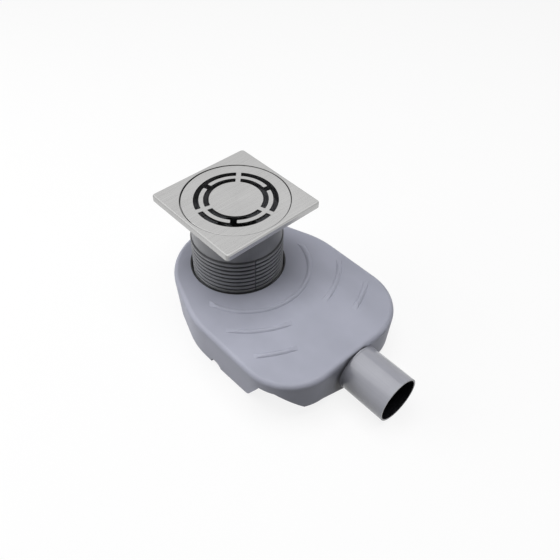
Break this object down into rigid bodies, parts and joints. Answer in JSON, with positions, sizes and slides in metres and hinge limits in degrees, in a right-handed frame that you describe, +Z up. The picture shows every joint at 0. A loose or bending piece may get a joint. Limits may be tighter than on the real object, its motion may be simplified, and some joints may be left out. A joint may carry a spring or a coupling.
{
  "type": "floor drain",
  "caption": "Floor drain with a wide flat body, side outlet pipe, ribbed riser that slides for height, square frame that turns to line up with tiles, round slotted grate and lift-out trap.",
  "frame": {"origin": "on the riser's axis at the body's underside", "axes": "+X along the outlet pipe, away from the body; +Z up through the grate"},
  "size_m": [0.295, 0.186, 0.141],
  "materials": {
    "stainless": "fine brushed stainless steel",
    "riser_plastic": "satin moulded plastic, dark grey",
    "body_plastic": "fine satin moulded plastic, cool light grey",
    "pipe_plastic": "smooth drawn plastic pipe, grey",
    "trap_plastic": "satin moulded plastic, dark grey",
    "rubber": "black rubber"
  },
  "bodies": {
    "body": {"body_shell": "body_plastic", "base_plate": "body_plastic", "outlet_pipe": "pipe_plastic", "riser_seal": "rubber"},
    "riser": {"riser": "riser_plastic", "trap_funnel": "trap_plastic", "trap_cup": "trap_plastic", "trap_o_ring": "rubber"},
    "frame": {"top_frame": "stainless", "grate": "stainless"}
  },
  "joints": [
    {"name": "riser_height", "type": "slide", "parent": "body", "child": "riser", "axis": [0, 0, 1], "range_m": [-0.01, 0.015]},
    {"name": "frame_swivel", "type": "hinge", "parent": "riser", "child": "frame", "pos_m": [0, 0, 0.1378], "axis": [0, 0, 1], "continuous": true}
  ]
}
